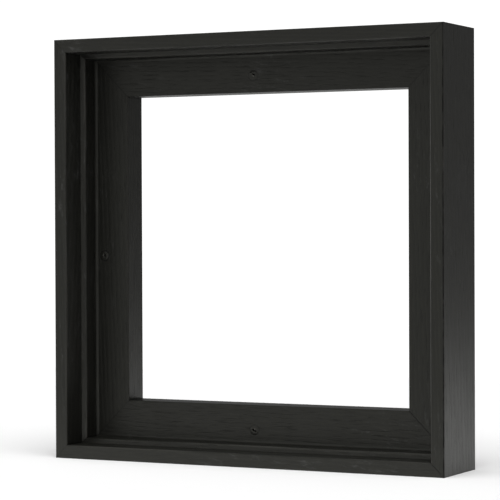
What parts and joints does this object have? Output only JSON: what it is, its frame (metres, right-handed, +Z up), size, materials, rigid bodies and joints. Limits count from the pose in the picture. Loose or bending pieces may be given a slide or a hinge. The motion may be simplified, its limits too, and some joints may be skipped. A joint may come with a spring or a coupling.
{
  "type": "floating frame",
  "caption": "Square black wooden floating frame with a deep stepped recess and a see-through middle, mitred corners and hinged ring hangers on its back.",
  "frame": {"origin": "centre of the flat underside of the bottom rail, which the frame stands on", "axes": "+X along the frame's width, to the right as seen from the front; +Y from the front towards the wall; +Z up"},
  "size_m": [0.344, 0.0694, 0.344],
  "materials": {
    "black_wood": "satin black lacquer over hardwood, with faint open grain",
    "black_screw_steel": "blackened steel",
    "zinc_screw_steel": "bright zinc",
    "hanger_steel": "nickel plated, stamped and bent",
    "wedge_steel": "rolled strip, uncoated",
    "bumper_rubber": "soft matt rubber"
  },
  "bodies": {
    "frame": {"bottom_rail": "black_wood", "top_rail": "black_wood", "left_stile": "black_wood", "right_stile": "black_wood", "canvas_screw_bottom": "black_screw_steel", "canvas_screw_top": "black_screw_steel", "canvas_screw_left": "black_screw_steel", "canvas_screw_right": "black_screw_steel", "corner_wedges_bottom_left": "wedge_steel", "corner_wedges_bottom_right": "wedge_steel", "corner_wedges_top_left": "wedge_steel", "corner_wedges_top_right": "wedge_steel", "left_hanger_strap": "hanger_steel", "right_hanger_strap": "hanger_steel", "left_hanger_screw": "zinc_screw_steel", "right_hanger_screw": "zinc_screw_steel", "left_bumper": "bumper_rubber", "right_bumper": "bumper_rubber"},
    "left_ring": {"left_hanger_ring": "hanger_steel"},
    "right_ring": {"right_hanger_ring": "hanger_steel"}
  },
  "joints": [
    {"name": "left_ring_swing", "type": "hinge", "parent": "frame", "child": "left_ring", "pos_m": [-0.149, 0.0346, 0.25], "axis": [1, 0, 0], "range_deg": [0, 175]},
    {"name": "right_ring_swing", "type": "hinge", "parent": "frame", "child": "right_ring", "pos_m": [0.149, 0.0346, 0.25], "axis": [1, 0, 0], "range_deg": [0, 175]}
  ]
}
